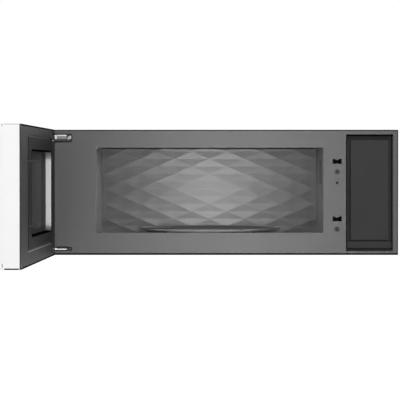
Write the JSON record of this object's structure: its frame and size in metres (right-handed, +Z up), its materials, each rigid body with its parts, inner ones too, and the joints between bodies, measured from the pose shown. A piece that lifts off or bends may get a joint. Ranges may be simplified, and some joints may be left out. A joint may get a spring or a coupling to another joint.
{
  "type": "over-the-range microwave",
  "caption": "Low-profile over-the-range microwave with a left-hinged door, glass turntable, vent blower, grease filters and a top duct outlet, hung on a wall plate.",
  "frame": {"origin": "centre of the wall plate's four stud holes, on the rear mounting face", "axes": "+X to the right seen from the front, +Y to the wall, +Z up"},
  "size_m": [0.797, 1.184, 0.2715],
  "materials": {
    "white_enamel": "smooth white enamel",
    "frame_grey": "satin grey enamel",
    "oven_grey": "satin grey enamel",
    "galvanised": "galvanised sheet",
    "bright_steel": "bright zinc-plated steel",
    "dark_plastic": "fine matt texture",
    "black_plastic": "matt black",
    "white_plastic": "moulded off-white nylon",
    "black_glass": "black printed glass",
    "clear_glass": "clear tempered glass",
    "frosted_glass": "frosted glass",
    "aluminium": "mill finish",
    "iron_core": "varnished laminations",
    "winding": "enamelled windings in varnish",
    "board_green": "solder mask",
    "mica": "mica sheet",
    "rubber": "matt",
    "ceramic": "glazed ceramic"
  },
  "bodies": {
    "cabinet": {"cabinet_wrap": "frame_grey", "base_pan": "frame_grey", "back_panel": "galvanised", "wall_plate": "galvanised", "front_frame": "frame_grey", "bottom_trim": "black_plastic", "control_pocket": "dark_plastic", "oven_shell": "oven_grey", "oven_back": "oven_grey", "wave_guide_cover": "mica", "wave_guide": "galvanised", "magnetron": "aluminium", "transformer_core": "iron_core", "transformer_windings": "winding", "capacitor": "aluminium", "diode": "black_plastic", "cooling_fan_housing": "black_plastic", "filter_board": "board_green", "thermostat": "ceramic", "oven_lamp": "ceramic", "vent_blower_housing": "galvanised", "vent_motor": "bright_steel", "duct_frame": "galvanised", "turntable_motor": "bright_steel", "cooktop_lamps": "ceramic", "lamp_lenses": "frosted_glass", "latch_board": "black_plastic", "interlock_switches": "black_plastic", "frame_screws": "iron_core", "hinge_brackets": "bright_steel", "cord_bushing": "rubber"},
    "door": {"door_shell": "white_enamel", "door_front_panel": "white_enamel", "window_glass": "black_glass", "control_glass": "black_glass", "control_board": "board_green", "door_chassis": "black_plastic", "choke_frame": "bright_steel", "door_inner_cover": "dark_plastic", "choke_cover": "dark_plastic", "window_gasket": "rubber", "inner_pane": "clear_glass", "window_screen": "black_plastic", "hinge_bushes": "black_plastic"},
    "latch": {"latch_hooks": "dark_plastic"},
    "turntable_drive": {"turntable_shaft": "white_plastic", "turntable_coupler": "white_plastic"},
    "tray": {"glass_tray": "clear_glass"},
    "ring": {"roller_ring": "white_plastic"},
    "roller_one": {"roller_1": "white_plastic"},
    "roller_two": {"roller_2": "white_plastic"},
    "roller_three": {"roller_3": "white_plastic"},
    "vent_rotor": {"vent_shaft": "bright_steel", "vent_wheels": "black_plastic"},
    "fan_rotor": {"cooling_fan_wheel": "white_plastic"},
    "flap": {"duct_flap": "aluminium"},
    "filter_left": {"grease_filter_left": "aluminium"},
    "filter_right": {"grease_filter_right": "aluminium"},
    "plungers": {"switch_plungers": "black_plastic"},
    "sensing": {"sensing_pin": "black_plastic"}
  },
  "joints": [
    {"name": "door_hinge", "type": "hinge", "parent": "cabinet", "child": "door", "pos_m": [-0.3715, -0.434, 0], "axis": [0, 0, 1], "range_deg": [-18.7, 91.3]},
    {"name": "latch_lift", "type": "slide", "parent": "door", "child": "latch", "axis": [0, 0, 1], "range_m": [0, 0.0015], "stiffness_N_per_m": 500, "springref_m": -0.002},
    {"name": "turntable_spin", "type": "hinge", "parent": "cabinet", "child": "turntable_drive", "pos_m": [-0.0266, -0.252, 0], "axis": [0, 0, 1], "continuous": true},
    {"name": "tray_lift", "type": "slide", "parent": "turntable_drive", "child": "tray", "axis": [0, 0, 1], "range_m": [0, 0.06]},
    {"name": "ring_spin", "type": "hinge", "parent": "cabinet", "child": "ring", "pos_m": [-0.0266, -0.252, 0], "axis": [0, 0, 1], "continuous": true},
    {"name": "roller_one_spin", "type": "hinge", "parent": "ring", "child": "roller_one", "pos_m": [-0.0266, -0.252, -0.0947], "axis": [0, 1, 0], "continuous": true},
    {"name": "roller_two_spin", "type": "hinge", "parent": "ring", "child": "roller_two", "pos_m": [-0.0266, -0.252, -0.0947], "axis": [-0.866, -0.5, 0], "continuous": true},
    {"name": "roller_three_spin", "type": "hinge", "parent": "ring", "child": "roller_three", "pos_m": [-0.0266, -0.252, -0.0947], "axis": [0.866, -0.5, 0], "continuous": true},
    {"name": "vent_spin", "type": "hinge", "parent": "cabinet", "child": "vent_rotor", "pos_m": [0, -0.0466, 0.022], "axis": [1, 0, 0], "continuous": true},
    {"name": "cooling_fan_spin", "type": "hinge", "parent": "cabinet", "child": "fan_rotor", "pos_m": [0.302, -0.225, 0.045], "axis": [0, 1, 0], "continuous": true},
    {"name": "flap_swing", "type": "hinge", "parent": "cabinet", "child": "flap", "pos_m": [0, -0.0172, 0.1168], "axis": [-1, 0, 0], "range_deg": [0, 70]},
    {"name": "filter_left_slide", "type": "slide", "parent": "cabinet", "child": "filter_left", "axis": [0, 1, 0], "range_m": [0, 0.006]},
    {"name": "filter_right_slide", "type": "slide", "parent": "cabinet", "child": "filter_right", "axis": [0, 1, 0], "range_m": [0, 0.006]},
    {"name": "plunger_press", "type": "slide", "parent": "cabinet", "child": "plungers", "axis": [0, 1, 0], "range_m": [0, 0.002], "stiffness_N_per_m": 300, "springref_m": -0.002},
    {"name": "sensing_press", "type": "slide", "parent": "cabinet", "child": "sensing", "axis": [0, 1, 0], "range_m": [0, 0.002], "stiffness_N_per_m": 200, "springref_m": -0.002}
  ],
  "couplings": [
    {"joint": "ring_spin", "follows": "turntable_spin", "ratio": 0.5},
    {"joint": "roller_one_spin", "follows": "turntable_spin", "ratio": -7.1429},
    {"joint": "roller_two_spin", "follows": "turntable_spin", "ratio": -7.1429},
    {"joint": "roller_three_spin", "follows": "turntable_spin", "ratio": -7.1429}
  ]
}
